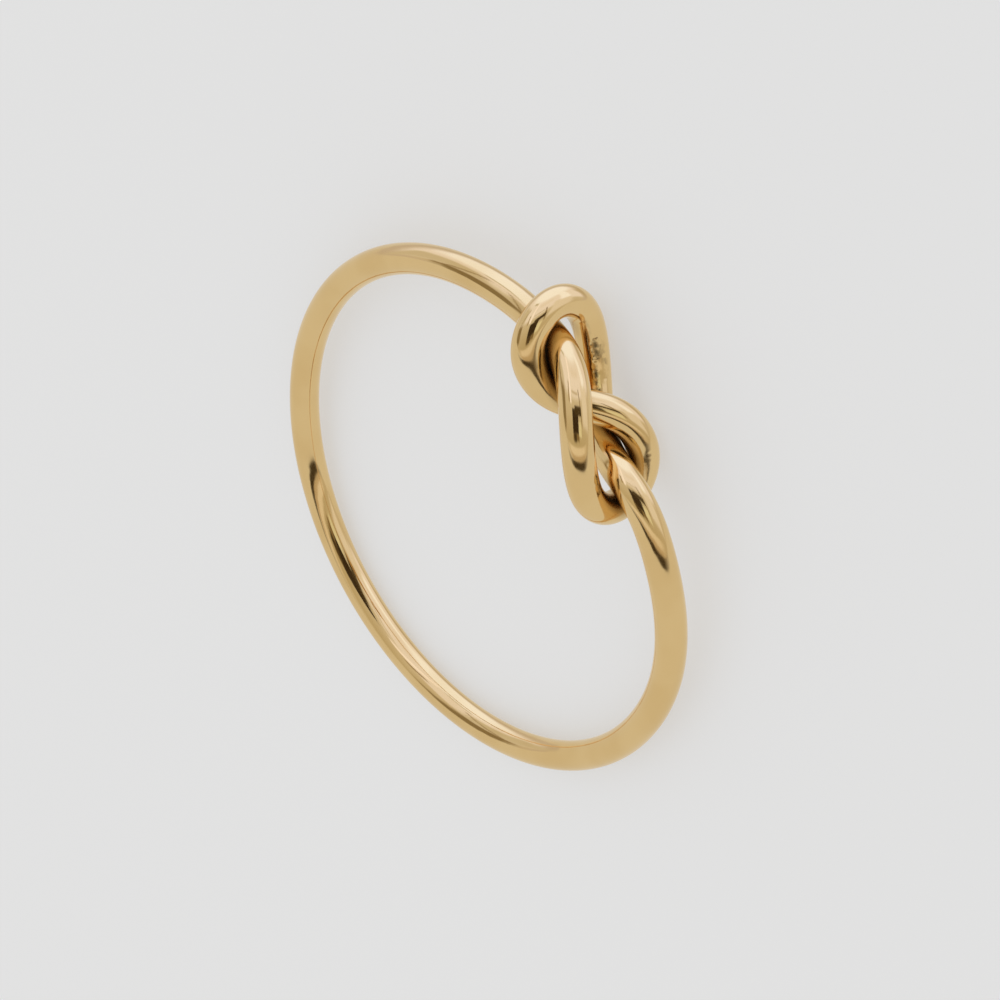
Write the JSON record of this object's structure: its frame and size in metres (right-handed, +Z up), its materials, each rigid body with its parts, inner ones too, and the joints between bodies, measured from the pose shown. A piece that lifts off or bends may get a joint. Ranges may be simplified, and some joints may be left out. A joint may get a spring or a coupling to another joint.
{
  "type": "knot ring",
  "caption": "Finger ring of one polished round wire, tied in a figure-eight knot at the front.",
  "frame": {"origin": "on the surface that the ring lies on, under the middle of its bounding box", "axes": "+Z up out of the surface and nearly along the finger hole, -Y towards the knot, +X along the band past the knot"},
  "size_m": [0.0194, 0.0204, 0.0038],
  "materials": {
    "gold": "polished gold plating"
  },
  "bodies": {
    "root": {"knot_ring": "gold"}
  },
  "joints": []
}
